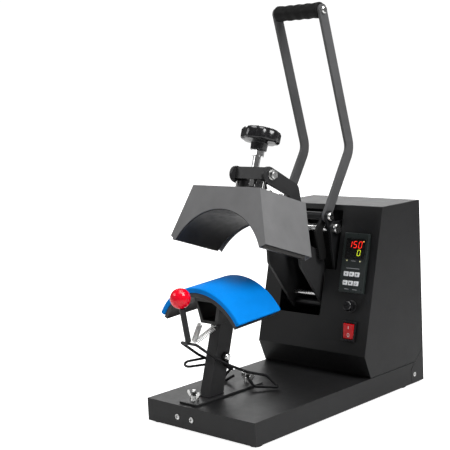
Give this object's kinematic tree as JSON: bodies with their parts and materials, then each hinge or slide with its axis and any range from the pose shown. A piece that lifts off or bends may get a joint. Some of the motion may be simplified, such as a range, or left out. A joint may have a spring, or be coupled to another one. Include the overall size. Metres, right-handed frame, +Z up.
{
  "type": "cap heat press",
  "caption": "Clamshell cap heat press: curved heated platen on swinging arms, padded curved lower platen, handle linkage, cap clamp and digital controls.",
  "frame": {"origin": "on the table, under the middle of the bounding box", "axes": "+X to the machine's right as seen from the front, +Y from the front to the back, +Z up"},
  "size_m": [0.2426, 0.4488, 0.6344],
  "materials": {
    "powder": "black textured powder coat",
    "grey": "dark grey powder coat",
    "black": "black painted steel",
    "cast": "black non-stick coated casting",
    "zinc": "bright plated",
    "pad": "blue silicone",
    "red": "glossy red",
    "switch": "translucent red",
    "plastic": "black",
    "rubber": "black",
    "key": "white",
    "board": "fibre insulation board"
  },
  "bodies": {
    "base": {"base_tray": "powder", "foot_front_left": "rubber", "foot_rear_left": "rubber", "foot_front_right": "rubber", "foot_rear_right": "rubber", "tower_cover": "powder", "rear_panel": "powder", "power_gland": "plastic", "frame_plate_left": "black", "frame_plate_right": "black", "arm_pivot_shaft": "black", "handle_pivot_shaft": "zinc", "controller_case": "plastic", "switch_bezel": "plastic", "fuse_holder": "plastic", "platen_post": "powder", "post_foot_plate": "powder", "platen_hub": "cast", "lower_platen": "cast", "lower_pad": "pad", "clamp_pivot_bolt": "zinc", "clamp_spring_left": "zinc", "clamp_spring_right": "zinc"},
    "arms": {"arm_left": "powder", "arm_right": "powder", "toggle_shaft": "zinc"},
    "trunnion": {"trunnion_block": "powder", "trunnion_bolt_left": "zinc", "trunnion_bolt_right": "zinc"},
    "heated_head": {"float_bracket": "powder", "upper_housing": "grey", "heater_platen": "cast", "heater_insulation": "board"},
    "pressure_screw": {"pressure_screw": "zinc", "pressure_knob": "plastic"},
    "handle": {"handle_bar_left": "grey", "handle_bar_right": "grey", "crank_plate_left": "black", "crank_plate_right": "black", "crank_shaft": "zinc", "crank_sleeve": "black", "grip_bolt": "zinc", "handle_grip": "rubber"},
    "toggle_links": {"toggle_link_left": "black", "toggle_link_right": "black"},
    "cap_clamp": {"clamp_wire": "black", "clamp_lug_left": "black", "clamp_lug_right": "black", "clamp_lever_rod": "black", "clamp_ball": "red"},
    "fuse_cap": {"fuse_cap": "plastic"},
    "power_rocker": {"switch_rocker": "switch"},
    "wing_nut_front": {"wing_nut_front": "zinc"},
    "wing_nut_rear": {"wing_nut_rear": "zinc"},
    "key_1": {"key_1": "key"},
    "key_2": {"key_2": "key"},
    "key_3": {"key_3": "key"},
    "key_4": {"key_4": "key"},
    "key_5": {"key_5": "key"},
    "key_6": {"key_6": "key"}
  },
  "joints": [
    {"name": "arm_hinge", "type": "hinge", "parent": "base", "child": "arms", "pos_m": [-0.0212, 0.0949, 0.141], "axis": [1, 0, 0], "range_deg": [0, 25.3]},
    {"name": "head_tilt", "type": "hinge", "parent": "arms", "child": "trunnion", "pos_m": [-0.0212, -0.0341, 0.3694], "axis": [1, 0, 0], "range_deg": [-3.7, 0]},
    {"name": "handle_hinge", "type": "hinge", "parent": "base", "child": "handle", "pos_m": [-0.0212, 0.0892, 0.2702], "axis": [1, 0, 0], "range_deg": [0, 88.1]},
    {"name": "toggle_link_hinge", "type": "hinge", "parent": "handle", "child": "toggle_links", "pos_m": [-0.0212, 0.0839, 0.2905], "axis": [1, 0, 0], "range_deg": [-109.3, 0]},
    {"name": "pressure_slide", "type": "slide", "parent": "trunnion", "child": "heated_head", "axis": [0, 0.3193, 0.9477], "range_m": [-0.003, 0.002]},
    {"name": "pressure_knob_turn", "type": "hinge", "parent": "heated_head", "child": "pressure_screw", "pos_m": [-0.0212, -0.0341, 0.3694], "axis": [0, 0.3193, 0.9477], "range_deg": [-618, 412]},
    {"name": "cap_clamp_hinge", "type": "hinge", "parent": "base", "child": "cap_clamp", "pos_m": [-0.0212, -0.1316, 0.0978], "axis": [1, 0, 0], "range_deg": [0, 35]},
    {"name": "fuse_cap_turn", "type": "hinge", "parent": "base", "child": "fuse_cap", "pos_m": [0.0848, 0.06664, 0.15054], "axis": [0, -0.968, 0.2508], "range_deg": [0, 60]},
    {"name": "power_rocker_tilt", "type": "hinge", "parent": "base", "child": "power_rocker", "pos_m": [0.0858, 0.05755, 0.11147], "axis": [1, 0, 0], "range_deg": [-18, 0]},
    {"name": "wing_nut_front_turn", "type": "hinge", "parent": "base", "child": "wing_nut_front", "pos_m": [-0.0212, -0.1906, 0.0418], "axis": [0, 0, 1], "continuous": true},
    {"name": "wing_nut_rear_turn", "type": "hinge", "parent": "base", "child": "wing_nut_rear", "pos_m": [-0.0212, -0.0706, 0.0418], "axis": [0, 0, 1], "continuous": true},
    {"name": "key_1_press", "type": "slide", "parent": "base", "child": "key_1", "axis": [0, 0.968, -0.2508], "range_m": [0, 0.0008], "stiffness_N_per_m": 1500},
    {"name": "key_2_press", "type": "slide", "parent": "base", "child": "key_2", "axis": [0, 0.968, -0.2508], "range_m": [0, 0.0008], "stiffness_N_per_m": 1500},
    {"name": "key_3_press", "type": "slide", "parent": "base", "child": "key_3", "axis": [0, 0.968, -0.2508], "range_m": [0, 0.0008], "stiffness_N_per_m": 1500},
    {"name": "key_4_press", "type": "slide", "parent": "base", "child": "key_4", "axis": [0, 0.968, -0.2508], "range_m": [0, 0.0008], "stiffness_N_per_m": 1500},
    {"name": "key_5_press", "type": "slide", "parent": "base", "child": "key_5", "axis": [0, 0.968, -0.2508], "range_m": [0, 0.0008], "stiffness_N_per_m": 1500},
    {"name": "key_6_press", "type": "slide", "parent": "base", "child": "key_6", "axis": [0, 0.968, -0.2508], "range_m": [0, 0.0008], "stiffness_N_per_m": 1500}
  ],
  "couplings": [
    {"joint": "head_tilt", "follows": "arm_hinge", "ratio": -0.13992},
    {"joint": "handle_hinge", "follows": "arm_hinge", "ratio": 3.4783},
    {"joint": "toggle_link_hinge", "follows": "arm_hinge", "ratio": -4.3071},
    {"joint": "pressure_knob_turn", "follows": "pressure_slide", "rad_per_m": 3590.4}
  ]
}
